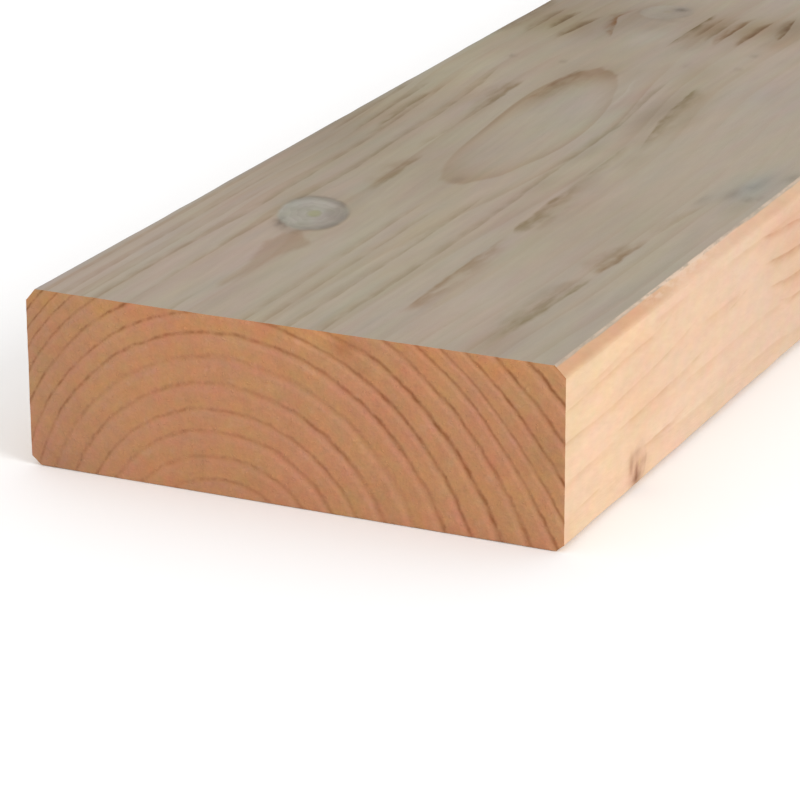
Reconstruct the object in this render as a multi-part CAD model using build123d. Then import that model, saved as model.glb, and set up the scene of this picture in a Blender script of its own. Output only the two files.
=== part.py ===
from build123d import *
import os

# A planed softwood plank that lies flat on its wide face. All sizes are in millimetres.
# The origin is the middle of the underside: X runs across the width, Y along the grain, Z up.

# Driving dimensions
width = 140.0
thickness = 45.0
length = 2400.0

# Each long edge is planed off to a narrow flat. The leg is what the flat takes from each face,
# and the radius softens the two lines where the flat meets those faces.
arris_leg = 2.8
arris_radius = 0.6


def planed_section():
    """Rectangle standing on the X axis, with its four corners eased."""
    with BuildSketch(Plane.XZ) as section:
        with Locations((0, thickness / 2)):
            Rectangle(width, thickness)
        chamfer(section.vertices(), length=arris_leg)
        fillet(section.vertices(), radius=arris_radius)
    return section.sketch


def make_plank():
    """The section run along the grain, half the length each way, with both ends sawn square."""
    plank = extrude(planed_section(), amount=length / 2, both=True)
    plank.label = "plank"
    return plank


os.makedirs("parts", exist_ok=True)
export_step(make_plank(), "parts/plank.step")
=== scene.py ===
import math

import bpy
import numpy as np
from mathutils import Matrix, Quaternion, Vector
from mathutils.geometry import delaunay_2d_cdt


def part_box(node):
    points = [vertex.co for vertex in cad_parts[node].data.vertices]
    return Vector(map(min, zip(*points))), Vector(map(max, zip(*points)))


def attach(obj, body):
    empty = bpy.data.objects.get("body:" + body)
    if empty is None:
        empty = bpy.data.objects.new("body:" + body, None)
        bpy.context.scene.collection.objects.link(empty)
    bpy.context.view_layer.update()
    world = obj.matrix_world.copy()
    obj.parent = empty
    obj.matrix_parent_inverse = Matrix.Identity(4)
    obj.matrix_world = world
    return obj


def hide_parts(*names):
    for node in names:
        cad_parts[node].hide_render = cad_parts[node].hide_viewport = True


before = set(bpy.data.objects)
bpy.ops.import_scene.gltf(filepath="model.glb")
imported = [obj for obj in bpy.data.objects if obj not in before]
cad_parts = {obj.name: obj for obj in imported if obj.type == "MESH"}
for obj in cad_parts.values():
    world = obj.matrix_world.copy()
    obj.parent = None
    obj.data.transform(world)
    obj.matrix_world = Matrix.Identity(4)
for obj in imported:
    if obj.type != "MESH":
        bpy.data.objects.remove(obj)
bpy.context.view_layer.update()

# A planed softwood plank lying on a pale floor. The frame is in metres, and the wood is
# described in millimetres: across from the left edge, along from the near end, up from the floor.
MM = 0.001
low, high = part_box("plank")
WIDTH = (high.x - low.x) / MM
THICK = (high.z - low.z) / MM
LENGTH = (high.y - low.y) / MM
NEAR_LENGTH = 360.0     # the near part, which has the closest rows and knots of its own


# The grain

# The pith, the middle of the rings, runs under the plank. It bends to the left once, and from
# some way along it swings.
PITH_ACROSS = 53.0
PITH_UP = -17.0
PITH_BEND = (8.0, 240, 58, 140)     # how far, where along, and its reach before and after there
PITH_SWINGS = (360, 620)            # the swing starts between these places along

# The rings' outer radii straight above the pith, and how dark each ring's edge is
RINGS = (
    (0, 0.5), (5, 0.5), (10.5, 0.5), (16, 0.6), (21.5, 0.6), (27.5, 0.6), (33.7, 0.7),
    (39.0, 0.8), (45.5, 0.9), (52.3, 0.4), (58.3, 1.0), (63.4, 1.0), (69.0, 1.2), (74.2, 0.9),
    (78.5, 0.9), (81.8, 0.8), (85.6, 1.4), (90.2, 1.2), (95.2, 1.2), (99.2, 1.0),
    (103.5, 0.8), (108, 1.0), (113, 1.0),
)
RING_RADII = [radius for radius, darkness in RINGS]
RING_DARKNESS = [darkness for radius, darkness in RINGS]

# How far the rings depart from circles: shares of the radius that grow with its sine, double
# sine and double cosine from the vertical, first as they are and then for each 60 mm of radius.
OVAL_NEAR = (0.240, -0.093, 0.047)
OVAL_FAR = (-0.337, 0.128, -0.070)
OVAL_RADIUS = 60.0

# Each knot: place along, degrees from the vertical (positive to the right), the share of its
# distance from the pith that its radius is, its height over its width, how it leans, and how
# plainly it shows.
KNOTS = (
    (82.0, -15.0, 0.147, 1.52, -0.36, 1.0),
    (42.6, 74.9, 0.059, 0.95, 0.0, 0.42),
    (314.1, -5.5, 0.126, 1.20, 0.06, 0.38),
    (146.0, 52.5, 0.060, 2.0, 0.1, 0.0),
    (560.0, 24.0, 0.120, 1.4, 0.2, 0.9),
    (585.0, -58.0, 0.095, 1.3, 0.0, 0.9),
    (905.0, -30.0, 0.130, 1.5, -0.2, 1.0),
    (930.0, 40.0, 0.100, 1.4, 0.1, 0.7),
    (1240.0, 6.0, 0.140, 1.3, 0.1, 0.9),
    (1262.0, 68.0, 0.075, 1.2, 0.0, 0.9),
    (1600.0, -40.0, 0.100, 1.5, -0.2, 0.8),
    (1628.0, 30.0, 0.100, 1.4, 0.2, 1.0),
    (1965.0, -8.0, 0.130, 1.5, 0.0, 0.9),
    (1990.0, 60.0, 0.085, 1.3, 0.1, 0.8),
    (2275.0, 14.0, 0.090, 1.4, 0.1, 1.0),
)
KNOT_RISE = 0.10        # a branch leans towards the tree's top by this share of its length
KNOT_OUT = 60.0         # and is at its knot's place along when it is this far from the pith
KNOT_PUSH = 0.55        # how far the grain gives way to a knot, as a share of its radius
KNOT_LIFT = 1.2         # how far the rings swell round a knot that has the usual radius
KNOT_RADIUS = 9.0       # the usual radius

CROWN_HEIGHT = 9.6      # the bulge of the rings under the oval figure on the top
CROWN_DIP = 1.5         # and the dip to its right
SPREAD = 3.0            # how far the outer rings move to the right on the top

CLEAR = 9.0             # the most that a distance from a knot is held to be


def hill(value, middle, reach):
    """1 at the middle, falling off smoothly over the reach on both sides."""
    return np.exp(-((value - middle) / reach) ** 2)


def ramp(value, start, end):
    """0 before the start, 1 after the end, with a smooth rise between."""
    t = np.clip((value - start) / (end - start), 0, 1)
    return t * t * (3 - 2 * t)


def pith_across(along):
    """The pith's place across at each place along."""
    far, middle, before, after = PITH_BEND
    bend = far * hill(along, middle, np.where(along < middle, before, after))
    swing = 4.0 * np.sin(along / 310 + 0.6) + 2.5 * np.sin(along / 120)
    return PITH_ACROSS - bend + swing * ramp(along, *PITH_SWINGS)


def pith_up(along):
    """The pith's height at each place along. Further on it also rises slowly."""
    swing = 1.6 * np.sin(along / 95 + 1.0) + 1.2 * np.sin(along / 43)
    slope = 9.0 * (along - 400) / 2000
    return PITH_UP + (swing + slope) * ramp(along, *PITH_SWINGS)


def crown(across, along, up):
    """How far the rings bulge under the oval figure on the top, less a dip to its right."""
    middle = 59.5 - 7.5 * ramp(along, 165, 250)
    bulge = CROWN_HEIGHT * hill(across, middle, 19.5) * hill(along, 183, 67) * ramp(up, 10, 45)
    dip = CROWN_DIP * hill(across, 80, 11) * ramp(up, 36, 46)
    return bulge - dip


def spread(across, along, up):
    """How far the outer rings move to the right, on the top, over the first centimetres."""
    return SPREAD * ramp(across, 60, 115) * ramp(along, 0, 60) * ramp(up, 5, 45)


def wood_fields(across, along, up):
    """The grain at each point: ring number, flow across the grain, and the nearest knot, as the
    place in it by two coordinates, the distance by them (1 at its edge) and how plain it is."""
    dx = across - pith_across(along) - spread(across, along, up)
    dz = up - pith_up(along)
    push_x = np.zeros_like(dx)
    push_z = np.zeros_like(dx)
    lift = np.zeros_like(dx)
    knot_u = np.full_like(dx, CLEAR)
    knot_v = np.full_like(dx, CLEAR)
    knot_ink = np.zeros_like(dx)
    for knot_along, degrees, share, height, lean, ink in KNOTS:
        sine, cosine = math.sin(math.radians(degrees)), math.cos(math.radians(degrees))
        out = np.maximum(dx * sine + dz * cosine, 1.0)
        radius = share * out
        v = (along - knot_along - KNOT_RISE * (out - KNOT_OUT)) / (radius * height)
        u = (dx * cosine - dz * sine) / radius - lean * v
        nearer = u * u + v * v < knot_u ** 2 + knot_v ** 2
        knot_u = np.where(nearer, u, knot_u)
        knot_v = np.where(nearer, v, knot_v)
        knot_ink = np.where(nearer, ink, knot_ink)
        near = np.exp(-(u ** 2 + (v / 1.4) ** 2) / (1.5 + 1 / radius) ** 2)
        push_x += KNOT_PUSH * u * radius * near * cosine
        push_z -= KNOT_PUSH * u * radius * near * sine
        lift += KNOT_LIFT * near * radius / KNOT_RADIUS
    dx = dx - push_x
    dz = dz - push_z
    radius = np.hypot(dx, dz)
    turn = np.arctan2(dx, dz)
    waves = (np.sin(turn), np.sin(2 * turn), np.cos(2 * turn) - 1)
    oval = sum((near + far * radius / OVAL_RADIUS) * wave
               for near, far, wave in zip(OVAL_NEAR, OVAL_FAR, waves))
    ring_radius = np.maximum(radius * (1 + oval) - lift - crown(across, along, up), 0)
    return {
        "ring": np.interp(ring_radius, RING_RADII, range(len(RINGS))),
        "flow": dx + PITH_ACROSS,
        "knot": np.minimum(np.hypot(knot_u, knot_v), CLEAR),
        "knot_u": knot_u,
        "knot_v": knot_v,
        "knot_ink": knot_ink,
    }


# Stains

# On the top the grain shows as streaks, sharp on one side. Each has its width, the side that it
# fades to (-1 left, 1 right), how long it takes to come in at its near end and to go out at its
# far end, how dark it is and how red, and then the places of its sharp edge, along and across.
# Below nothing it is pale.
STREAKS = (
    (4.8, -1, 30, 14, 1.1, 0.15, (0, 118.8), (30, 119.6), (66, 121.0)),
    (4.8, -1, 12, 30, 1.4, 0.60, (62, 121.0), (104, 121.9)),
    (2.4, -1, 10, 30, 0.5, 0.35, (96, 121.4), (140, 124.6)),
    (3.8, 1, 14, 28, 1.0, 0.80, (17, 89.6), (50, 88.6), (91, 87.9)),
    (4.4, 1, 10, 40, 1.3, 0.30, (86, 89.2), (94, 87.4), (120, 86.6), (148, 86.0)),
    (1.8, 1, 14, 16, 0.7, 0.30, (138, 86.0), (150, 85.7), (178, 84.7)),
    (3.2, 1, 45, 14, 1.2, 0.20, (158, 92.0), (178, 88.0), (187, 86.5), (200, 84.0), (212, 82.6),
     (240, 80.4)),
    (1.8, -1, 24, 30, 0.7, 0.30, (-20, 78.6), (60, 79.0), (100, 78.5), (135, 77.1), (158, 76.5),
     (175, 76.0), (192, 75.7), (208, 74.0), (225, 72.2), (247, 70.6)),
    (1.8, -1, 24, 24, 0.6, 0.20, (-20, 70.4), (60, 70.7), (104, 70.0), (120, 68.6)),
    (1.4, -1, 24, 30, 0.55, 0.50, (-20, 63.6), (40, 63.4), (110, 62.8)),
    (1.5, -1, 24, 30, 0.6, 0.40, (-20, 58.9), (50, 58.5), (112, 57.4)),
    (1.4, -1, 20, 16, 0.4, 0.20, (-20, 40.2), (18, 39.0)),
    (4.0, -1, 18, 20, 1.0, 0.60, (102, 41.0), (148, 38.8)),
    (1.6, -1, 20, 14, 0.5, 0.35, (140, 35.0), (196, 34.4)),
    (4.2, -1, 28, 14, 1.2, 0.40, (178, 34.6), (198, 34.5), (227, 33.0)),
    (1.7, -1, 90, 30, 0.7, 0.30, (-20, 27.8), (90, 27.2), (125, 27.8), (150, 26.4), (183, 25.8),
     (217, 23.3), (244, 19.0)),
    (1.7, -1, 24, 50, 0.7, 0.40, (-20, 19.4), (40, 19.2), (80, 20.5), (120, 19.6), (150, 19.0),
     (192, 16.4), (240, 11.8)),
    (1.3, -1, 24, 30, 0.4, 0.50, (-20, 15.6), (60, 15.2), (112, 14.6)),
    (1.4, -1, 24, 30, 0.55, 0.50, (-20, 10.9), (50, 10.3), (125, 9.6)),
    (1.3, -1, 24, 30, 0.45, 0.50, (-20, 5.9), (50, 5.5), (130, 4.8)),
    (1.6, -1, 20, 20, 0.8, 0.40, (148, 6.8), (216, 4.4)),
    (1.6, -1, 20, 20, 0.8, 0.35, (150, 12.4), (218, 9.0)),
    (2.2, -1, 16, 14, 1.0, 0.20, (158, 16.4), (206, 14.0)),
    (5.6, 1, 24, 8, 1.1, 0.75, (198, 41.3), (243, 42.6)),
    (1.3, 1, 14, 14, -0.25, 0.50, (203, 66.2), (222, 64.4), (242, 60.2)),
    (2.6, 1, 20, 14, 1.0, 0.60, (262, 3.0), (320, 3.2)),
    (2.0, -1, 14, 14, 1.1, 0.50, (270, 11.8), (310, 11.4)),
    (2.0, -1, 16, 12, 2.1, 0.50, (276, 16.4), (288, 16.8), (308, 17.3)),
    (2.0, -1, 14, 12, 2.1, 0.50, (268, 22.6), (277, 23.3), (297, 25.0), (304, 25.4)),
    (2.2, -1, 10, 10, 1.6, 1.00, (278, 37.0), (287, 34.6), (303, 29.4), (316, 31.8)),
    (1.5, 1, 22, 16, 1.9, 0.25, (268, 56.2), (276, 55.8), (296, 55.4), (322, 55.3)),
    (1.4, -1, 14, 14, 1.2, 0.50, (284, 60.2), (318, 59.8)),
    (1.5, -1, 12, 14, 1.3, 0.45, (282, 64.4), (320, 63.8)),
    (2.0, -1, 14, 16, 2.3, 0.65, (279, 68.6), (297, 68.0), (322, 68.4)),
    (1.9, -1, 14, 16, 2.3, 0.55, (280, 74.8), (320, 75.1)),
    (2.0, -1, 12, 12, 2.2, 0.60, (292, 84.0), (304, 82.8), (326, 79.0)),
)
# The grain on the right side, as streaks in the same way, with places along and up.
SIDE_STREAKS = (
    (1.2, -1, 24, 16, 0.36, 1.0, (-12, 33.6), (5, 34.3), (32, 35.5), (57, 36.1), (70, 39.0)),
    (1.1, -1, 24, 24, 0.32, 1.0, (-12, 26.8), (24, 26.4), (52, 27.6), (71, 29.4), (90, 32.2)),
    (1.2, -1, 12, 14, 0.42, 1.0, (26, 19.0), (57, 19.8), (77, 20.9), (92, 21.8)),
    (1.1, -1, 5, 14, 0.52, 1.0, (47, 9.6), (67, 9.9), (80, 11.2)),
    (1.0, -1, 24, 12, 0.22, 1.0, (-12, 16.5), (24, 17.0)),
    (0.7, -1, 10, 8, 0.35, 1.0, (3, 8.0), (24, 8.8)),
    (0.6, -1, 5, 5, 0.40, 0.6, (104, 26.4), (120, 28.8)),
    (1.3, -1, 14, 20, 0.65, 1.0, (124, 39.4), (136, 38.2), (170, 35.0)),
    (1.5, -1, 14, 20, 0.75, 1.0, (128, 31.4), (150, 29.4), (180, 28.0)),
    (1.3, -1, 12, 20, 0.65, 1.0, (132, 24.2), (152, 22.0), (180, 20.6)),
    (1.2, -1, 12, 20, 0.50, 1.0, (139, 18.6), (152, 16.2), (180, 14.6)),
)
STREAK_SETS = 6         # streaks that come near each other are stored apart, in so many sets
STREAK_ROOM = 2.4       # the least room beside a streak in its set
STREAK_AWAY = 4.0       # the most widths that a point is held to be away from a streak
PLACED_LENGTH = 340.0   # past this, the top's streaks bend with the grain

# The fan of red stain before the nearest knot on the top: places along, with the middle across
# and how far it reaches to each side there.
FLAME = ((17, 41.2, 0.0), (24, 41.3, 1.2), (33, 41.7, 1.5), (40, 41.4, 1.9), (45, 40.6, 2.6),
         (51, 40.6, 3.8), (57, 40.8, 5.8), (60, 41.2, 5.2), (64, 39.4, 3.0), (67, 38.8, 1.2),
         (70, 38.8, 0.0))
BAND_STREAKS = 9        # further along, each knot on the top has about so many streaks before it
FAINT_STREAKS = 70      # and so many long faint streaks run between them
TOP_RADIUS = 66.0       # about how far the top is above the pith there
NOWHERE = 999.0         # a place that no stain reaches

# Stains by kind. Each stain has its middle across and along, its reach across and along, and
# its strength. Those on the right side have their height in place of across, and those on the
# sawn ends have it in place of along. Late and plain aren't colours: they are where the rings
# show more on the top, and where they show less.
STAINS = {
    "russet": (
        (117.5, 9, 4.5, 13, 0.55), (50, 241, 8, 10, 0.45), (44, 296, 4, 8, 0.4),
        (131, 131, 4, 8, 0.3), (61, 303, 5, 13, 0.6), (71, 306, 3, 11, 0.4),
        (79, 307, 4, 10, 0.4), (8, 296, 8, 14, 0.3), (48, 285, 9, 12, -0.35),
        (63, 281, 4, 7, 0.35), (84, 290, 4, 6, 0.35), (28, 280, 4, 8, 0.3),
    ),
    "brown": (
        (6, 150, 20, 48, 1.0), (6, 305, 35, 55, 1.1), (30, 210, 60, 70, 0.3),
        (83, 313, 7, 18, 1.4), (80.5, 206, 5, 26, 1.1), (86.5, 140, 3, 10, 0.7),
        (79, 130, 2.5, 12, 0.6), (78.5, 163, 2.5, 10, 0.6), (87.5, 178, 2.5, 9, 0.6),
        (76, 249, 9, 14, 0.5), (34.5, 191, 2.5, 12, 0.6), (31, 298, 8, 16, 0.6),
        (90, 134, 3, 8, 0.5), (91, 160, 3, 8, 0.5), (91.5, 202, 3, 12, 0.6),
        (68, 212, 2.5, 12, 0.5), (33, 93, 2.5, 4, 0.6), (26, 198, 2.5, 10, 0.5),
        (45.5, 208, 3, 14, 0.7), (14, 236, 10, 16, -0.3), (103, 38, 8, 14, -0.25),
        (50, 130, 16, 40, 0.55), (50, 245, 14, 35, 0.35), (60, 305, 25, 30, 0.5),
        (41.5, 314, 8, 8, 0.6), (100, 100, 20, 25, 0.35), (62, 300, 6, 13, 0.15),
        (71, 300, 3, 12, 0.5),
    ),
    "gold": (
        (59.5, 297, 4.5, 13, 0.85), (14.5, 290, 6, 12, 0.7), (74, 304, 5, 12, 0.6),
        (86, 298, 4, 12, 0.5), (24, 286, 4, 10, 0.5), (86.5, 222, 4, 16, 0.4),
        (43, 222, 4, 20, 0.45),
    ),
    "blue": (
        (134, 72, 4.5, 56, 0.6), (131, 148, 6, 18, 1.4), (123, 137, 3, 9, 0.8),
        (58, 196, 9, 26, 0.6), (41, 316, 11, 12, 0.8), (38, 108, 3, 6, 0.6),
        (27, 90, 3.5, 4, 0.9), (46, 290, 18, 18, 0.7), (100, 242, 16, 25, 0.5),
        (127, 152, 6, 10, 0.7), (62, 28, 9, 34, -0.4), (39.5, 14, 3, 12, 0.5),
    ),
    "dark": (
        (30.4, 74.0, 1.1, 2.0, 1.1), (32.2, 71.2, 1.1, 1.8, 1.5), (34.4, 69.0, 1.3, 1.2, 1.1),
        (38.0, 67.0, 3.0, 1.0, 0.8), (56.6, 125.4, 1.5, 2.4, 0.35), (43.9, 318.6, 2.2, 2.2, 0.5),
        (41.5, 75.0, 3.0, 2.6, 0.35), (43.8, 84.0, 1.6, 5.0, 0.3), (29.0, 95.5, 3.0, 1.3, 0.4),
        (44, 318.6, 2.0, 1.8, 0.8), (44.5, 305.8, 5.0, 1.2, 0.4), (19, 248, 0.9, 1.8, 0.8),
        (35, 248, 0.8, 1.6, 0.8), (84.4, 259, 0.9, 1.8, 0.7), (83.4, 276, 1.2, 2, 0.6),
        (69.3, 258, 1.2, 1.8, 0.5), (121.5, 134, 1.0, 5, 0.5), (127, 142, 1.6, 5, 0.7),
        (130.3, 154, 1.0, 7, 0.5), (136, 162, 1.4, 4, 0.7), (132, 139, 1.4, 2, 0.7),
        (134.6, 141.5, 0.9, 1.6, 0.6), (128.5, 150, 1.6, 2.4, 0.4),
    ),
    "late": (
        (50, 240, 9, 14, 2.4), (57, 128, 10, 14, 2.0), (42, 190, 5, 50, 2.6),
        (68, 170, 6, 60, 1.4),
    ),
    "end_shade": (
        (84.5, 41.6, 3.4, 2.2, 1.1), (135, 25, 5, 8, 0.6), (111, 4.5, 6, 3, -0.3),
        (88.5, 37, 2.8, 2.8, 0.6), (75, 42, 3, 2, -0.5), (8, 3, 5, 3, 0.5), (58, 39, 12, 3, -0.2),
        (17, 10, 8, 7, 0.15),
    ),
    "plain": (
        (118, 190, 24, 80, 1.1), (45, 265, 60, 14, 0.8), (104, 60, 10, 60, 0.8),
    ),
    "side_orange": (
        (38, 150, 4, 20, 0.9), (30, 154, 4, 19, 0.9), (20.5, 158, 4, 17, 0.8),
        (22, 0, 30, 9, 0.05), (3, 2, 4, 6, 0.4), (20, 48, 6, 11, 0.55), (11, 78, 6, 30, -0.15),
        (6.5, 45, 7, 7, 0.5),
    ),
    "side_dark": (
        (5.3, 44.0, 2.0, 1.1, 1.5), (3.2, 45.0, 1.4, 1.5, 0.9), (35, 46, 5, 14, 0.16),
        (7.4, 40.4, 2.6, 1.2, 1.0), (9.4, 43.6, 0.9, 2.6, 0.6), (6.2, 48.4, 1.3, 1.6, 0.8),
        (2.8, 43.0, 1.3, 2.4, 1.1), (8.6, 35.4, 1.6, 2.2, -0.14), (8.6, 50.8, 1.6, 2.4, -0.14),
        (11, 78, 6, 30, -0.07),
    ),
}


def further_knots():
    """The knots that the top shows past the near ones."""
    return [knot for knot in KNOTS if knot[0] > NEAR_LENGTH and abs(knot[1]) < 45]


def further_streaks():
    """Streaks before each of the further knots, and long faint ones."""
    chance = np.random.default_rng(7)
    made = []
    for knot_along, degrees, *_ in further_knots():
        middle = PITH_ACROSS + TOP_RADIUS * math.tan(math.radians(degrees))
        for number in range(BAND_STREAKS):
            side = 1 if number % 2 else -1
            across = middle + side * (10 + number * 4.6 + chance.uniform(-2, 2))
            far = knot_along + chance.uniform(-8, 12)
            near = far - chance.uniform(28, 62)
            made.append((chance.uniform(1.6, 2.8), side, 20, 12, chance.uniform(0.7, 1.6),
                         chance.uniform(0.1, 0.9), (near, across), (far, across)))
    for number in range(FAINT_STREAKS):
        near = chance.uniform(345, LENGTH)
        far = near + chance.uniform(80, 240)
        across = chance.uniform(4, WIDTH - 4)
        made.append((chance.uniform(1.4, 2.0), chance.choice((-1, 1)), 40, 40,
                     chance.uniform(0.4, 0.8), chance.uniform(0.1, 0.8), (near, across),
                     (far, across + chance.uniform(-1, 1))))
    return made


def streak_edge(points, along):
    """Where a streak's sharp edge is at each place along."""
    places, edges = zip(*points)
    return np.interp(along, places, edges)


def apart(first, second):
    """Whether two streaks keep clear of each other."""
    start = max(first[6][0], second[6][0]) - 6
    end = min(first[-1][0], second[-1][0]) + 6
    if end <= start:
        return True
    along = np.linspace(start, end, 12)
    strips = []
    for width, side, coming, going, dark, red, *points in (first, second):
        edge = streak_edge(points, along)
        limits = (edge - side * STREAK_ROOM, edge + side * (2 * width + STREAK_ROOM))
        strips.append((np.minimum(*limits), np.maximum(*limits)))
    (a, b), (c, d) = strips
    return bool(np.all((b < c) | (d < a)))


def streak_sets(streaks):
    """The streaks in sets, each streak in the first set where it is clear of the others. One
    that fits in none is left out."""
    sets = [[] for number in range(STREAK_SETS)]
    for streak in streaks:
        for chosen in sets:
            if all(apart(streak, other) for other in chosen):
                chosen.append(streak)
                break
    return sets


def streak_fields(place, along, streaks):
    """For each set of streaks: how far the nearest one's sharp edge is, in its widths and
    positive on the side that it fades to, how dark it is there and how red."""
    fields = {}
    for number, chosen in enumerate(streak_sets(streaks)):
        least = np.full_like(place, 1e6)
        offset = np.full_like(place, STREAK_AWAY)
        darkness = np.zeros_like(place)
        redness = np.zeros_like(place)
        for width, side, coming, going, dark, red, *points in chosen:
            near, far = points[0][0], points[-1][0]
            out = (place - streak_edge(points, along)) * side
            shape = ramp(along, near, near + coming) * ramp(along, far, far - going)
            kept = ramp(out, -STREAK_ROOM, -STREAK_ROOM / 2)
            kept = kept * ramp(out, 2 * width + STREAK_ROOM, 2 * width + STREAK_ROOM / 2)
            gap = np.where(shape > 0, np.abs(out - width), 1e5)
            wins = gap < least
            least = np.where(wins, gap, least)
            offset = np.where(wins, out / (width * (0.25 + 0.75 * shape)), offset)
            darkness = np.where(wins, dark * ramp(shape, 0, 0.8) * kept, darkness)
            redness = np.where(wins, red, redness)
        fields[f"streak_{number}"] = np.clip(offset, -STREAK_AWAY, STREAK_AWAY)
        fields[f"streak_dark_{number}"] = darkness
        fields[f"streak_red_{number}"] = redness
    return fields


def flame_field(across, along):
    """How strongly the fan of red stain covers each point."""
    places, middles, reaches = zip(*FLAME)
    half = np.interp(along, places, reaches)
    inside = half - np.abs(across - np.interp(along, places, middles))
    return ramp(inside, -0.7, 0.9) * ramp(half, 0.0, 1.0)


def stain_fields(across, along, up):
    """How strongly each kind of stain covers each point."""
    fields = {}
    for kind, stains in STAINS.items():
        first, second = across, along
        if kind.startswith("side"):
            first = np.where(across > WIDTH - 4, up, NOWHERE)
        if kind.startswith("end"):
            second = up
        fields[kind] = sum(strength * hill(first, place, wide) * hill(second, middle, tall)
                           for place, middle, wide, tall, strength in stains)
    fields["russet"] += 0.7 * flame_field(across, along)
    for knot_along, degrees, *_ in further_knots():
        middle = PITH_ACROSS + TOP_RADIUS * math.tan(math.radians(degrees))
        cloud = hill(across, middle, 34) * hill(along, knot_along - 20, 40)
        fields["brown"] += 0.8 * cloud
        fields["russet"] += 0.15 * cloud
    return fields


# The solid, as a mesh

# Each arris, from the lower left round to the upper left: its legs on the wide face and on the
# narrow one.
ARRIS_LEGS = ((3.0, 2.6), (2.3, 2.0), (2.9, 2.8), (2.85, 3.3))
ARRIS_WAVES = ((9.0, 0.16), (55.0, 0.22))   # how the legs wander: length and height of each wave
EDGE_STEP = 0.3                             # the vertices nearest an edge are this far from it
ARRIS_STEPS = (0.12, 0.5, 0.88)             # shares across an arris for the vertices between its edges
FACE_COLUMNS = (26, 38, 112, 18)            # columns on the underside, right side, top and left side
NEAR_ROWS = (1.5, 0.0062)       # the first row step, and its growth for each millimetre along
FAR_STEP = 20.0                 # the row step past the near part
KNOT_STEP = 5.0                 # and within the reach of a knot there
KNOT_REACH = 24.0
NEAR_END_STEP = 0.70            # how far apart the points are that fill each sawn end
FAR_END_STEP = 1.5
CORNER_ROOM = 3.2               # how far in and up together they keep from the section's corners

# How far each thing stands out of the skin, and then of the sawn ends. The underside is set in,
# so that nothing on it goes below the floor.
RING_RELIEF = 0.05
FIBRE_RELIEF = 0.035
PLANING_RELIEF = 0.06
KNOT_RELIEF = 0.12
UNDERSIDE_INSET = 0.2
END_RING_RELIEF = 0.10
FUZZ_RELIEF = 0.04
TEAR_RELIEF = 0.25
STROKE_RELIEF = 0.03


def lattice_noise(first, second, seed):
    """Smooth noise from -1 to 1 over two coordinates, one bump for each unit."""
    table = np.random.default_rng(seed).uniform(-1, 1, (256, 256))
    column, row = np.floor(first).astype(int), np.floor(second).astype(int)
    s, t = first - column, second - row
    s, t = s * s * (3 - 2 * s), t * t * (3 - 2 * t)

    def at(i, j):
        return table[(column + i) % 256, (row + j) % 256]

    return (at(0, 0) * (1 - s) + at(1, 0) * s) * (1 - t) + (at(0, 1) * (1 - s) + at(1, 1) * s) * t


def stations():
    """Places along the plank for its rows of vertices: close at the near end and by knots."""
    places = [0.0]
    while places[-1] < LENGTH:
        here = places[-1]
        if here < NEAR_LENGTH:
            step = NEAR_ROWS[0] + NEAR_ROWS[1] * here
        elif any(abs(here - knot[0]) < KNOT_REACH for knot in KNOTS):
            step = KNOT_STEP
        else:
            step = FAR_STEP
        places.append(here + step)
    inside = [place for place in places if place < LENGTH - 1]
    return np.array(inside + [LENGTH])


def section_corners(along):
    """The section's corners at each place, anticlockwise from the lower left arris as seen
    from the near end, as (places, 8 corners, 2)."""
    legs = []
    for number, (wide, narrow) in enumerate(ARRIS_LEGS):
        wander = sum(high * lattice_noise(along / long, along * 0 + number * 3.7, 11 + number)
                     for long, high in ARRIS_WAVES)
        legs.append((wide + wander, narrow + wander))
    zero, width, thick = along * 0, along * 0 + WIDTH, along * 0 + THICK
    (ax, az), (bx, bz), (cx, cz), (dx, dz) = legs
    corners = ((ax, zero), (width - bx, zero), (width, bz), (width, thick - cz),
               (width - cx, thick), (dx, thick), (zero, thick - dz), (zero, az))
    return np.stack([np.stack(corner, -1) for corner in corners], 1)


def section_points(along):
    """The skin's points as (places, columns, 2), and each column's outward direction."""
    corners = section_corners(along)
    points, outward = [], []
    for face, columns in enumerate(FACE_COLUMNS):
        start, end, after = (corners[:, (2 * face + step) % 8] for step in range(3))
        edge = EDGE_STEP / np.linalg.norm(end - start, axis=1).mean()
        shares = np.concatenate([[0, edge], np.linspace(edge, 1 - edge, columns)[1:-1], [1 - edge, 1]])
        angle = (face - 1) * math.pi / 2
        points += [start + (end - start) * share for share in shares]
        outward += [(math.cos(angle), math.sin(angle))] * len(shares)
        points += [end + (after - end) * share for share in ARRIS_STEPS]
        angle += math.pi / 4
        outward += [(math.cos(angle), math.sin(angle))] * len(ARRIS_STEPS)
    return np.stack(points, 1), np.array(outward)


def skin_relief(across, along, up):
    """How far the planed skin stands out, in millimetres."""
    wood = wood_fields(across, along, up)
    late = np.clip((wood["ring"] % 1 - 0.55) / 0.4, 0, 1) ** 2
    fibre = lattice_noise((wood["flow"] + up * 1.7) / 1.9, along / 45, 21)
    planing = lattice_noise(across / 30 + up / 13, along / 110, 22)
    boss = ramp(wood["knot"], 1.25, 0.85) * wood["knot_ink"]
    relief = RING_RELIEF * late + FIBRE_RELIEF * fibre + PLANING_RELIEF * planing + KNOT_RELIEF * boss
    return np.where(up < 1e-6, np.minimum(relief - UNDERSIDE_INSET, 0), relief)


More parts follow.
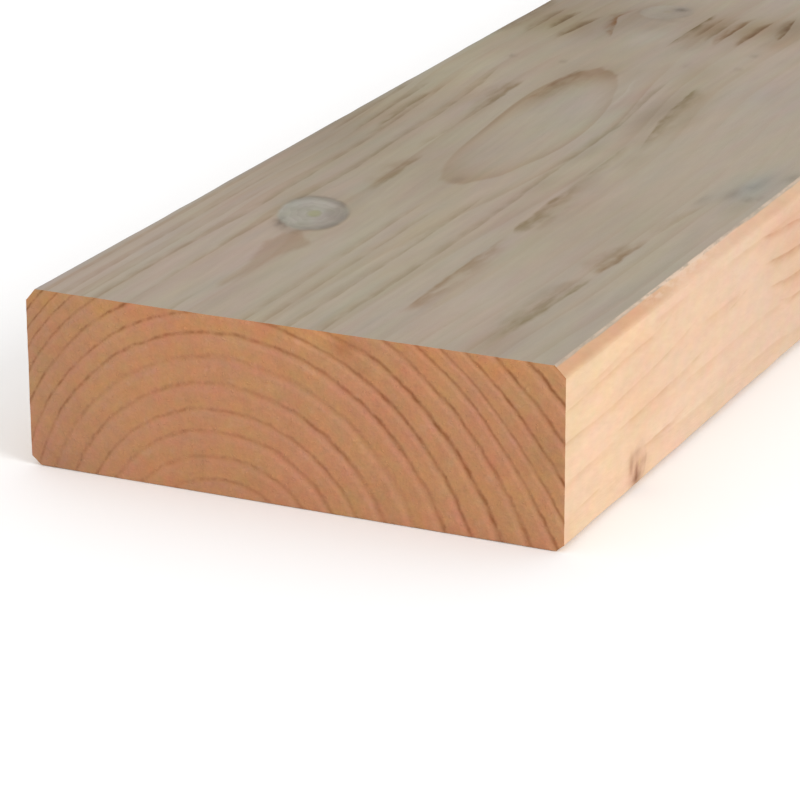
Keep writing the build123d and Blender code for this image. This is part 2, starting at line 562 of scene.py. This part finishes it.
def end_relief(across, along, up, seed):
    """How far a sawn end stands out, in millimetres."""
    part = wood_fields(across, along, up)["ring"] % 1
    late = ramp(part, 0.5, 0.96) * ramp(part, 1.0, 0.97)
    fuzz = lattice_noise(across / 0.9, up / 0.9, seed)
    tear = np.maximum(lattice_noise(across / 2.3 + up / 6, up / 1.6, seed + 1) - 0.45, 0)
    strokes = lattice_noise(across / 17 + up / 9, up / 2.4, seed + 2)
    return END_RING_RELIEF * late + FUZZ_RELIEF * fuzz + TEAR_RELIEF * tear + STROKE_RELIEF * strokes


def cap_points(rim, step):
    """Points that fill a rim of (x, z) points about a step apart, with the rim's own points
    first, and the triangles between them."""
    count = len(rim)
    inner = []
    rows = int(THICK / (step * 0.87))
    for row in range(1, rows):
        up = THICK * row / rows
        first = step * (0.8 + 0.5 * (row % 2))
        for across in np.arange(first, WIDTH - step * 0.7, step):
            corner = min(across, WIDTH - across) + min(up, THICK - up)
            if corner > CORNER_ROOM + step * 0.6:
                inner.append((across, up))
    points = [Vector(place) for place in (*rim, *inner)]
    edges = [(number, (number + 1) % count) for number in range(count)]
    made, _, triangles, *_ = delaunay_2d_cdt(points, edges, [], 1, 1e-6)
    made = np.array([tuple(place) for place in made])
    if not np.allclose(made[:count], rim, atol=1e-4):
        raise ValueError("the sawn end's rim has moved")
    return made, np.array(triangles)


def make_mesh():
    """The mesh's points in the wood's millimetres, its faces, how many of them are skin, and how
    many columns and rows of points the skin has. The skin runs row by row along the grain, and
    the two sawn ends close it."""
    along = stations()
    points, outward = section_points(along)
    rows, columns = points.shape[:2]
    lengthwise = np.repeat(along[:, None], columns, 1)
    relief = skin_relief(points[..., 0], lengthwise, points[..., 1])
    points = points + relief[..., None] * outward
    number = np.arange(rows * columns).reshape(rows, columns)
    beside = np.roll(number, -1, 1)
    skin = np.stack([number[:-1], beside[:-1], beside[1:], number[1:]], -1).reshape(-1, 4)
    places = [np.stack([points[..., 0], lengthwise, points[..., 1]], -1).reshape(-1, 3)]
    faces = skin.tolist()
    for row, step, facing, seed in ((0, NEAR_END_STEP, -1, 31), (rows - 1, FAR_END_STEP, 1, 41)):
        made, triangles = cap_points(points[row], step)
        across, up = made[columns:].T
        depth = along[row] + facing * end_relief(across, across * 0 + along[row], up, seed)
        lookup = np.concatenate([number[row], sum(map(len, places)) + np.arange(len(across))])
        places.append(np.stack([across, depth, up], -1))
        faces += lookup[triangles if facing < 0 else triangles[:, ::-1]].tolist()
    return np.concatenate(places), faces, len(skin), columns, rows


def add_fields(mesh, places):
    """Stores the grain and the stains on the mesh's points, for the materials to read."""
    across, along, up = places.T
    fields = wood_fields(across, along, up)
    fields["ring_dark"] = np.interp(fields["ring"], range(len(RINGS)), RING_DARKNESS)
    top = np.where(along < PLACED_LENGTH, across, fields["flow"])
    on_top = streak_fields(top, along, (*STREAKS, *further_streaks()))
    on_side = streak_fields(up, along, SIDE_STREAKS)
    for name, values in on_top.items():
        fields[name] = np.where(across > WIDTH - 0.3, on_side[name], values * (up > THICK - 1))
    fields.update(stain_fields(across, along, up))
    for name, values in fields.items():
        attribute = mesh.attributes.new(name, "FLOAT", "POINT")
        attribute.data.foreach_set("value", values.astype(np.float32))


def mark_faces(mesh, skin_faces, columns, rows):
    """Smooth shading, with the two sawn rims kept sharp, and the ends' own material."""
    count = len(mesh.polygons)
    mesh.polygons.foreach_set("use_smooth", np.ones(count, bool))
    material = np.zeros(count, np.int32)
    material[skin_faces:] = 1
    mesh.polygons.foreach_set("material_index", material)
    ends = np.zeros((len(mesh.edges), 2), np.int32)
    mesh.edges.foreach_get("vertices", ends.ravel())
    near_rim = (ends < columns).all(1)
    far_rim = ((ends >= (rows - 1) * columns) & (ends < rows * columns)).all(1)
    mesh.attributes.new("sharp_edge", "BOOLEAN", "EDGE").data.foreach_set("value", near_rim | far_rim)
    mesh.update()


def make_plank():
    """The plank's one object, with its materials."""
    places, faces, skin_faces, columns, rows = make_mesh()
    mesh = bpy.data.meshes.new("timber_plank")
    placed = (places - (WIDTH / 2, 0, 0)) * MM + (0, low.y, 0)
    mesh.from_pydata(placed.tolist(), [], faces)
    mesh.materials.append(long_grain())
    mesh.materials.append(end_grain())
    add_fields(mesh, places)
    mark_faces(mesh, skin_faces, columns, rows)
    plank = bpy.data.objects.new("timber_plank", mesh)
    bpy.context.scene.collection.objects.link(plank)
    return plank


# Materials

def linear(screen):
    """A colour from its 0 to 255 screen values, which are all well above black."""
    red, green, blue = (((value / 255 + 0.055) / 1.055) ** 2.4 for value in screen)
    return (red, green, blue, 1)


class Field:
    """A value in a material. Arithmetic on it adds the nodes that work the result out."""

    def __init__(self, tree, socket):
        self.tree = tree
        self.socket = socket

    def node(self, kind, inputs, output=0, **settings):
        """Adds a node and gives its output. Inputs are values or other fields, by place or name."""
        node = self.tree.nodes.new(kind)
        for name, value in settings.items():
            setattr(node, name, value)
        for place, value in inputs.items():
            if isinstance(value, Field):
                self.tree.links.new(value.socket, node.inputs[place])
            else:
                node.inputs[place].default_value = value
        return Field(self.tree, node.outputs[output])

    def math(self, operation, *others):
        return self.node("ShaderNodeMath", dict(enumerate((self, *others))), operation=operation)

    def __add__(self, other):
        return self.math("ADD", other)

    def __sub__(self, other):
        return self.math("SUBTRACT", other)

    def __mul__(self, other):
        return self.math("MULTIPLY", other)

    __radd__ = __add__
    __rmul__ = __mul__

    def __rsub__(self, other):
        return self.math("MULTIPLY", -1.0).math("ADD", other)

    def fraction(self):
        return self.math("FRACT")

    def power(self, exponent):
        return self.math("POWER", exponent)

    def limited(self):
        return self.math("MAXIMUM", 0.0).math("MINIMUM", 1.0)

    def rise(self, start, end, bottom=0.0, top=1.0):
        """From bottom to top, smoothly, while this value goes from start to end."""
        return self.node("ShaderNodeMapRange", {0: self, 1: start, 2: end, 3: bottom, 4: top},
                         interpolation_type="SMOOTHSTEP", clamp=True)

    def fall(self, start, end):
        """From 1 to 0, smoothly, while this value goes from start to end."""
        return self.rise(start, end, 1.0, 0.0)


class Wood:
    """The inputs that every timber material starts from, and the nodes they are mixed with."""

    def __init__(self, name):
        self.material = bpy.data.materials.new(name)
        self.material.use_nodes = True
        self.tree = self.material.node_tree
        self.tree.nodes.clear()
        self.start = Field(self.tree, None)
        place = self.start.node("ShaderNodeTexCoord", {}, output=3)
        self.place = self.stretched(place, (1 / MM, 1 / MM, 1 / MM))
        split = self.tree.nodes.new("ShaderNodeSeparateXYZ")
        self.tree.links.new(self.place.socket, split.inputs[0])
        self.along = Field(self.tree, split.outputs[1]) - low.y / MM
        self.up = Field(self.tree, split.outputs[2])
        self.across = Field(self.tree, split.outputs[0]) + WIDTH / 2

    def vector(self, operation, inputs):
        return self.start.node("ShaderNodeVectorMath", inputs, operation=operation)

    def stretched(self, vector, factors):
        return self.vector("MULTIPLY", {0: vector, 1: factors})

    def stored(self, name):
        """A value that is stored on the mesh's points."""
        return self.start.node("ShaderNodeAttribute", {}, output=2, attribute_name=name,
                               attribute_type="GEOMETRY")

    def point(self, x, y, z):
        return self.start.node("ShaderNodeCombineXYZ", {0: x, 1: y, 2: z})

    def drawn_out(self, share):
        """The place with this share of its distance along, which draws a noise out along the grain."""
        return self.stretched(self.place, (1, share, 1))

    def noise(self, vector, scale, detail=2.0, rough=0.5):
        """Noise about 0, from about -0.5 to 0.5."""
        inputs = {"Vector": vector, "Scale": scale, "Detail": detail, "Roughness": rough}
        return self.start.node("ShaderNodeTexNoise", inputs) - 0.5

    def mix(self, factor, first, second):
        node = self.tree.nodes.new("ShaderNodeMix")
        node.data_type = "RGBA"
        for socket, value in ((node.inputs[0], factor), (node.inputs[6], first), (node.inputs[7], second)):
            if isinstance(value, Field):
                self.tree.links.new(value.socket, socket)
            else:
                socket.default_value = value
        return Field(self.tree, node.outputs[2])

    def between(self, factor, pair):
        """A colour between the two screen colours of a pair."""
        return self.mix(factor, linear(pair[0]), linear(pair[1]))

    def stained(self, colour, amount, stain):
        """The colour less the amount times the stain's share of each channel."""
        taken = self.vector("SCALE", {0: stain, 3: amount})
        left = self.vector("SUBTRACT", {0: (1, 1, 1), 1: taken})
        return self.vector("MULTIPLY", {0: colour, 1: left})

    def mottled(self, colour, vector, scale, amount):
        """The colour with each channel a little up and down by a noise of its own."""
        made = self.start.node("ShaderNodeTexNoise", {"Vector": vector, "Scale": scale, "Detail": 2.0},
                               output=1)
        least = 1 - amount / 2
        factor = self.vector("MULTIPLY_ADD", {0: made, 1: (amount,) * 3, 2: (least,) * 3})
        return self.vector("MULTIPLY", {0: colour, 1: factor})

    def finish(self, colour, roughness, height, specular):
        """The surface shader. The height is in millimetres."""
        shader = self.tree.nodes.new("ShaderNodeBsdfPrincipled")
        bump = self.tree.nodes.new("ShaderNodeBump")
        output = self.tree.nodes.new("ShaderNodeOutputMaterial")
        bump.inputs["Distance"].default_value = MM
        self.tree.links.new(height.socket, bump.inputs["Height"])
        self.tree.links.new(bump.outputs[0], shader.inputs["Normal"])
        self.tree.links.new(colour.socket, shader.inputs["Base Color"])
        self.tree.links.new(roughness.socket, shader.inputs["Roughness"])
        shader.inputs["Specular IOR Level"].default_value = specular
        self.tree.links.new(shader.outputs[0], output.inputs["Surface"])
        return self.material


# The wood's colours on the screen; the top's grey ones are partly weathering and partly painted shade
# and sheen. Each pair is mixed by a slow noise.
END_COLOURS = ((180, 129, 91), (182, 131, 93))
FRESH_COLOURS = ((216, 181, 150), (215, 183, 151))
WEATHERED_AND_SHADED_COLOURS = ((158, 144, 128), (156, 144, 126))
FRESH_KNOT_COLOURS = ((184, 142, 116), (210, 172, 144))
WEATHERED_AND_SHADED_KNOT_COLOURS = ((137, 128, 116), (154, 149, 137))
TORN_AND_HIGHLIGHT_COLOUR = (208, 182, 160)

# How much of each of red, green and blue a full mark takes away. Below nothing it adds.
LINE_STAIN = (0.37, 0.465, 0.555)
# painted highlight beside the sawn end's ring lines
RING_HIGHLIGHT_STAIN = (-0.09, -0.10, -0.09)
LATE_STAIN = (0.03, 0.06, 0.09)
OLIVE_STAIN = (0.26, 0.29, 0.42)
GOLD_STAIN = (0.12, 0.17, 0.36)
RUSSET_STAIN = (0.19, 0.31, 0.42)
BROWN_STAIN = (0.18, 0.21, 0.26)
BLUE_STAIN = (0.09, 0.04, -0.01)
ORANGE_STAIN = (0.08, 0.20, 0.26)
DARK_STAIN = (0.36, 0.38, 0.40)
BARK_STAIN = (0.35, 0.42, 0.47)
TAN_STAIN = (0.22, 0.34, 0.41)
GREY_STAIN = (0.10, -0.02, -0.12)
# painted shade on the sawn end's lower left
PAINTED_SHADE_END_STAIN = (0.14, 0.09, 0.05)
PINK_CLOUD_STAIN = (-0.02, 0.035, -0.02)
HAZE_STAIN = (-0.02, -0.05, -0.13)
UPPER_END_STAIN = (-0.02, 0.01, 0.14)
EARLY_STAIN = (0.0, 0.0, -0.07)
YELLOW_STAIN = (0.01, 0.0, 0.06)
ROUGH_END_STAIN = (1.0, 1.0, 0.9)
ROUGH_SIDE_STAIN = (0.8, 1.0, 1.1)
ROUGH_TOP_STAIN = (1.0, 1.0, 1.0)
FAR_SIDE_STAIN = (0.10, 0.10, 0.05)
UPPER_SIDE_STAIN = (0.0, 0.01, 0.05)
KNOT_RING_STAIN = (0.14, 0.15, 0.15)
KNOT_PITH_STAIN = (0.10, 0.07, 0.32)
KNOT_HALO_STAIN = (0.06, 0.10, 0.13)
KNOT_RIM_STAIN = (0.28, 0.30, 0.32)


def end_grain():
    """The sawn ends' material."""
    wood = Wood("timber_end_grain")
    place = wood.place
    left = wood.across.rise(WIDTH * 0.62, WIDTH * 0.3)
    wobble = wood.noise(place, 0.05) * 0.26 + wood.noise(place, 0.25, 3.0, 0.6) * 0.24
    part = (wood.stored("ring") + wobble + 0.5).fraction()
    line = (part.rise(0.26, 0.43) * part.fall(0.43, 0.60)).power(1.45)
    # painted highlight: a pale band beside each ring line, stronger towards the right of the sawn end
    rim = part.rise(0.0, 0.16) * part.fall(0.20, 0.33)
    early = part.rise(0.0, 0.12) * part.fall(0.22, 0.38)
    yellow = part.rise(0.45, 0.60) * part.fall(0.62, 0.95)
    dots = wood.noise(place, 0.42, 3.0, 0.6).rise(-0.20, 0.18, 0.15, 0.90)
    steady = wood.noise(place, 0.22, 3.0, 0.6).rise(-0.20, 0.14, 0.40, 1.0)
    patchy = wood.noise(place, 0.06).rise(-0.16, 0.12, 0.55, 1.15)
    strength = (left * dots + (1 - left) * steady) * patchy * wood.stored("ring_dark")
    fine = wood.noise(place, 1.3, 3.0, 0.6)
    grain = wood.noise(place, 0.50)
    soft = wood.noise(place, 0.22)
    fleck = wood.noise(place, 0.8, 1.0).rise(0.15, 0.23)
    edge = wood.up.rise(THICK - 8.0, THICK - 1.5) * wood.noise(place, 0.10).rise(-0.12, 0.14)
    # painted shade: the sawn end darker towards its lower left, away from the light
    corner = wood.across.rise(34.0, 2.0) * wood.up.rise(44.0, 4.0, 0.8, 0.9)
    patch = wood.noise(place, 0.045)
    cloud = wood.noise(place, 0.055).rise(-0.12, 0.18)
    haze = wood.noise(place, 0.3).rise(0.09, 0.2)
    colour = wood.between(patch.rise(-0.2, 0.2), END_COLOURS)
    colour = wood.mottled(colour, place, 0.10, 0.16)
    colour = wood.mottled(colour, place, 0.28, 0.24)
    colour = wood.stained(colour, cloud, PINK_CLOUD_STAIN)
    colour = wood.mottled(colour, place, 0.7, 0.10)
    colour = wood.stained(colour, corner, PAINTED_SHADE_END_STAIN)
    colour = wood.stained(colour, edge, UPPER_END_STAIN)
    colour = wood.stained(colour, wood.stored("end_shade"), BROWN_STAIN)
    colour = wood.stained(colour, early, EARLY_STAIN)
    colour = wood.stained(colour, yellow, YELLOW_STAIN)
    colour = wood.stained(colour, haze, HAZE_STAIN)
    colour = wood.stained(colour, rim * (1.1 - left), RING_HIGHLIGHT_STAIN)
    colour = wood.stained(colour, line * strength, LINE_STAIN)
    rough = fine * (left * 0.08 - 0.28) - grain * 0.18 - soft * 0.12 - fleck * 0.10
    colour = wood.stained(colour, rough, ROUGH_END_STAIN)
    height = fine * 0.22 + fleck * 0.12 - line * 0.06
    roughness = fine * 0.1 + 0.8
    return wood.finish(colour, roughness, height, 0.2)


def long_grain():
    """The material of the four long faces and the eased edges between them."""
    wood = Wood("timber_long_grain")
    flow = wood.stored("flow")
    fibre_place = wood.point(flow, wood.along * 0.03, wood.up)
    fine_place = wood.point(flow, wood.along * 0.10, wood.up)
    soft_place = wood.drawn_out(0.3)
    part = (wood.stored("ring") + wood.noise(fibre_place, 0.22) * 0.24).fraction()
    fall = part.fall(0.94, 1.0)
    broken = wood.noise(fibre_place, 0.16).rise(-0.2, 0.15, 0.15, 1.0)
    line = part.rise(0.76, 0.94) * fall * broken * wood.stored("ring_dark")
    late = part.rise(0.45, 0.94) * fall
    streak = wood.noise(fibre_place, 0.55, 3.0, 0.6)
    fine = wood.noise(fine_place, 1.8, 3.0, 0.6)
    patch = wood.noise(soft_place, 0.03, 3.0).rise(-0.2, 0.2)

    right = wood.across.rise(WIDTH - 12.0, WIDTH - 4.0)
    fresh = fresh_skin(wood, right, patch, line, late, streak, fine)
    grey = weathered_and_shaded_skin(wood, patch, line, late, streak, fine)
    ragged = wood.noise(wood.drawn_out(0.15), 0.5, 3.0) * 0.7
    left = wood.across.rise(12.0, 4.0)
    # where the top's grey goes, on the top and the left arris: partly weathering, partly painted shade and
    # sheen
    weathered_and_shaded = (wood.up + ragged + left * 3.2).rise(THICK - 0.6, THICK - 0.2)
    colour = wood.mix(weathered_and_shaded, fresh, grey)
    colour = streaked(wood, colour, fibre_place)
    colour = wood.stained(colour, wood.across.rise(5.0, 1.6) * weathered_and_shaded, GREY_STAIN)
    colour = wood.mix(chips_and_edge_highlight(wood) * 0.8, colour, linear(TORN_AND_HIGHLIGHT_COLOUR))
    colour, rim = knots(wood, colour, weathered_and_shaded, fine)
    dark = wood.stored("dark") * weathered_and_shaded
    colour = wood.stained(colour, dark, DARK_STAIN)
    colour = wood.stained(colour, wood.stored("side_dark"), BARK_STAIN)
    height = fine * 0.10 + streak * 0.05 - rim * 0.2 - dark * 0.2
    roughness = weathered_and_shaded * 0.12 + fine * 0.1 + 0.6
    return wood.finish(colour, roughness, height, 0.3)


def chips_and_edge_highlight(wood):
    """Where pale fibres are torn out along the upper right arris, and a thin pale line along its top edge
    that is partly torn fibres and partly a painted highlight.
    """
    inward = wood.across - (WIDTH - ARRIS_LEGS[2][0])
    torn = wood.noise(wood.drawn_out(0.3), 0.5, 3.0, 0.6)
    # the thin pale line on the arris's top edge: partly torn fibres, partly painted highlight
    line = inward.rise(-0.30, 0.0) * inward.fall(0.25, 0.7) * (torn + 0.2).rise(0.0, 0.4)
    patch = inward.rise(-0.35, 0.15) * inward.fall(0.9, 3.0) * torn.rise(-0.08, 0.10)
    patch = patch * wood.along.rise(46.0, 62.0) * wood.along.fall(88.0, 112.0)
    return (line * 0.75 + patch * 0.6).limited() * wood.up.rise(THICK - 4, THICK - 3)


def fresh_skin(wood, right, patch, line, late, streak, fine):
    """Planed wood on the sides and the underside, still cream, with the right upper arris tan."""
    arris = wood.up.rise(THICK - 3.4, THICK - 1.7) * right
    far = wood.along.rise(20.0, 120.0)
    tan = wood.along.rise(50.0, 80.0, 1.0, 0.40) + wood.along.rise(96.0, 126.0) * 0.15
    colour = wood.between(patch, FRESH_COLOURS)
    colour = wood.mottled(colour, wood.drawn_out(0.5), 0.08, 0.12)
    colour = wood.mottled(colour, wood.drawn_out(0.5), 0.28, 0.16)
    colour = wood.stained(colour, far, FAR_SIDE_STAIN)
    colour = wood.stained(colour, wood.up.rise(16.0, 32.0) * right * (1 - far), UPPER_SIDE_STAIN)
    colour = wood.stained(colour, wood.stored("side_orange"), ORANGE_STAIN)
    colour = wood.stained(colour, arris * tan, TAN_STAIN)
    broken = wood.noise(wood.drawn_out(0.25), 0.12).rise(-0.10, 0.12)
    colour = wood.stained(colour, late * (broken * 0.8 + 0.3), LATE_STAIN)
    colour = wood.stained(colour, line * broken * 0.10, LINE_STAIN)
    slant = wood.point(wood.across * 0.5, (wood.along - wood.up * 0.3) * 0.14,
                       (wood.along * 0.3 + wood.up) * 0.75)
    fleck = wood.noise(slant, 1.0)
    grit = wood.noise(wood.drawn_out(0.5), 0.4, 3.0)
    cloud = wood.noise(wood.drawn_out(0.4), 0.14)
    rough = fine * -0.05 - streak * 0.12 - grit * 0.14 - fleck * 0.16 - cloud * 0.16
    return wood.stained(colour, rough * (0.85 - far * 0.2), ROUGH_SIDE_STAIN)


def weathered_and_shaded_skin(wood, patch, line, late, streak, fine):
    """The greyed top, its grey partly weathering and partly painted shade and sheen, with its stains."""
    marked = wood.stored("plain").rise(0.1, 0.9, 1.0, 0.25)
    along_grain = wood.drawn_out(0.14)
    grit = wood.noise(along_grain, 0.5, 3.0)
    colour = wood.between(patch, WEATHERED_AND_SHADED_COLOURS)
    colour = wood.mottled(colour, wood.drawn_out(0.3), 0.05, 0.14)
    colour = wood.mottled(colour, along_grain, 0.22, 0.13)
    colour = wood.stained(colour, late * (marked * 0.9 + wood.stored("late")), LATE_STAIN)
    colour = wood.stained(colour, line * marked * (wood.stored("late") * 0.12 + 0.10), LINE_STAIN)
    colour = wood.stained(colour, wood.stored("brown"), BROWN_STAIN)
    colour = wood.stained(colour, wood.stored("gold"), GOLD_STAIN)
    colour = wood.stained(colour, wood.stored("blue"), BLUE_STAIN)
    colour = wood.stained(colour, wood.stored("russet"), RUSSET_STAIN)
    rough = fine * -0.05 - grit * 0.14 - streak * marked * 0.17
    return wood.stained(colour, rough, ROUGH_TOP_STAIN)


def streaked(wood, colour, fibre_place):
    """The colour with the streaks in it."""
    sway = wood.noise(wood.stretched(wood.place, (0.4, 1, 0.4)), 0.13)
    feather = wood.noise(fibre_place, 0.8) * 0.30 + sway * 0.50
    dotted = wood.noise(wood.drawn_out(0.24), 0.40)
    dotted = dotted.rise(-0.2, 0.15, 0.40, 1.30)
    olive = 0.0
    russet = 0.0
    for number in range(STREAK_SETS):
        offset = wood.stored(f"streak_{number}") + feather
        core = offset.rise(0.0, 0.8, 0.20, 0.0)
        fade = offset.rise(0.0, 2.05, 0.86, 0.0)
        profile = offset.rise(-0.20, 0.08) * (core + fade)
        amount = profile * wood.stored(f"streak_dark_{number}") * dotted
        red = wood.stored(f"streak_red_{number}")
        olive = amount * (1 - red) + olive
        russet = amount * red + russet
    colour = wood.stained(colour, olive, OLIVE_STAIN)
    return wood.stained(colour, russet, RUSSET_STAIN)


def knots(wood, colour, weathered_and_shaded, fine):
    """The colour with the knots in it, and how strong their dark rims are."""
    place = wood.point(wood.stored("knot_u"), wood.stored("knot_v"), wood.along * 0.004)
    ink = wood.stored("knot_ink")
    knot = wood.stored("knot") + wood.noise(place, 1.4, 3.0) * 0.30
    inside = knot.fall(0.88, 1.04) * ink
    rim = knot.rise(0.70, 0.94) * knot.fall(0.96, 1.10) * ink
    rim = rim * wood.noise(place, 0.9).rise(-0.12, 0.18, 0.0, 1.0) * (weathered_and_shaded * 0.7 + 0.3)
    rings = (knot * 4.5 + wood.noise(place, 2.5) * 1.6).fraction()
    pale = wood.noise(place, 1.3) * 0.8 - wood.stored("knot_u") * 0.22 - knot * 0.12
    pale = pale.rise(-0.26, 0.10)
    # the knots' grey on the top is partly weathering and partly painted shade and sheen
    grey = wood.between(pale, WEATHERED_AND_SHADED_KNOT_COLOURS)
    fresh = wood.between(pale, FRESH_KNOT_COLOURS)
    core = wood.mix(weathered_and_shaded, fresh, grey)
    core = wood.mottled(core, place, 1.6, 0.16)
    core = wood.stained(core, rings * 0.55 + fine * 0.3, KNOT_RING_STAIN)
    core = wood.stained(core, knot.rise(0.26, 0.12), KNOT_PITH_STAIN)
    colour = wood.stained(colour, knot.rise(1.9, 1.0) * ink * 0.6, KNOT_HALO_STAIN)
    colour = wood.mix(inside, colour, core)
    return wood.stained(colour, rim, KNOT_RIM_STAIN), rim


# The stage

FLOOR_SIZE = 60.0
FLOOR_COLOUR = (0.95, 0.95, 0.95, 1)
FLOOR_ROUGHNESS = 0.9
WORLD_STRENGTH = 0.95
SUN_STRENGTH = 1.25
SUN_FROM = Vector((2.0, -0.45, 1.2))
SUN_ANGLE = math.radians(30)


def make_stage():
    """The pale floor, the white studio round it and one soft sun."""
    bpy.context.scene.view_settings.view_transform = "Standard"
    half = FLOOR_SIZE / 2
    mesh = bpy.data.meshes.new("floor")
    mesh.from_pydata([(-half, -half, 0), (half, -half, 0), (half, half, 0), (-half, half, 0)],
                     [], [(0, 1, 2, 3)])
    floor = bpy.data.objects.new("floor", mesh)
    bpy.context.scene.collection.objects.link(floor)
    paint = bpy.data.materials.new("pale_floor")
    paint.use_nodes = True
    shader = paint.node_tree.nodes["Principled BSDF"]
    shader.inputs["Base Color"].default_value = FLOOR_COLOUR
    shader.inputs["Roughness"].default_value = FLOOR_ROUGHNESS
    mesh.materials.append(paint)

    world = bpy.data.worlds.new("studio")
    world.use_nodes = True
    background = world.node_tree.nodes["Background"]
    background.inputs["Color"].default_value = (1, 1, 1, 1)
    background.inputs["Strength"].default_value = WORLD_STRENGTH
    bpy.context.scene.world = world

    sun = bpy.data.lights.new("key", "SUN")
    sun.energy = SUN_STRENGTH
    sun.angle = SUN_ANGLE
    lamp = bpy.data.objects.new("key", sun)
    lamp.rotation_euler = SUN_FROM.to_track_quat("Z", "Y").to_euler()
    bpy.context.scene.collection.objects.link(lamp)


# The camera, as the photograph was taken: place in plank widths from the near end's lower left
# corner, direction, and lens.
CAMERA_PLACE = (3.263, -5.428, 2.373)
CAMERA_AZIMUTH = math.radians(25.23)
CAMERA_ELEVATION = math.radians(19.72)
CAMERA_ROLL = math.radians(-0.30)
PHOTO_WIDTH = 800               # in pixels
FOCAL_LENGTH = 3881             # in the same pixels
SENSOR_WIDTH = 36               # in millimetres
CAMERA_LENS = FOCAL_LENGTH / PHOTO_WIDTH * SENSOR_WIDTH


def make_camera():
    """The camera at the photograph's place and angle."""
    data = bpy.data.cameras.new("camera")
    data.lens = CAMERA_LENS
    data.sensor_width = SENSOR_WIDTH
    data.clip_start = 0.05
    data.clip_end = 100
    camera = bpy.data.objects.new("camera", data)
    wide = WIDTH * MM
    x, y, z = CAMERA_PLACE
    camera.location = (x * wide + low.x, y * wide + low.y, z * wide)
    back = Vector((math.sin(CAMERA_AZIMUTH) * math.cos(CAMERA_ELEVATION),
                   -math.cos(CAMERA_AZIMUTH) * math.cos(CAMERA_ELEVATION),
                   math.sin(CAMERA_ELEVATION)))
    camera.rotation_mode = "QUATERNION"
    camera.rotation_quaternion = back.to_track_quat("Z", "Y") @ Quaternion((0, 0, 1), CAMERA_ROLL)
    bpy.context.scene.collection.objects.link(camera)
    bpy.context.scene.camera = camera


make_camera()
make_stage()
plank = make_plank()
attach(plank, "root")
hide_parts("plank")
